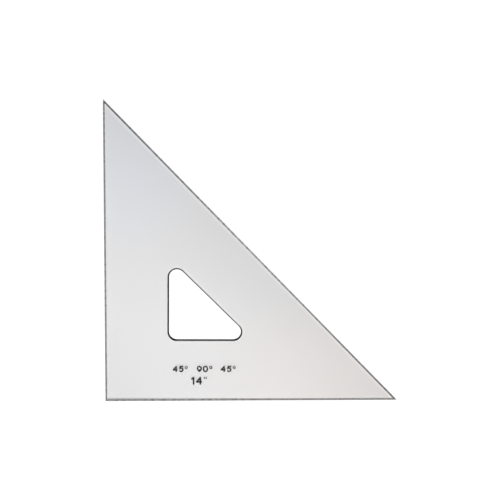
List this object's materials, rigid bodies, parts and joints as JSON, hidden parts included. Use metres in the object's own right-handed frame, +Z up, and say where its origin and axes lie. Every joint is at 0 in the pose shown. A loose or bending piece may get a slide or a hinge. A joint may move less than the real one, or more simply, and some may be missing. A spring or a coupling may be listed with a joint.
{
  "type": "drafting triangle",
  "caption": "Clear acrylic 45-degree drafting triangle with milled inking edges, a rounded triangular finger window and plain printed angle and size numbers.",
  "frame": {"origin": "middle of the plate's bounding box at its base face, which is the base of the hypotenuse's middle", "axes": "+Z up through the plate's thickness, with the printed face on top; +X along the lower leg away from the right angle, +Y along the upright leg away from the right angle"},
  "size_m": [0.3556, 0.3556, 0.003],
  "materials": {
    "clear_acrylic": "gloss",
    "black_ink": "matte"
  },
  "bodies": {
    "root": {"acrylic_plate": "clear_acrylic", "angle_mark_45_left": "black_ink", "angle_mark_90": "black_ink", "angle_mark_45_right": "black_ink", "size_mark_14": "black_ink"}
  },
  "joints": []
}
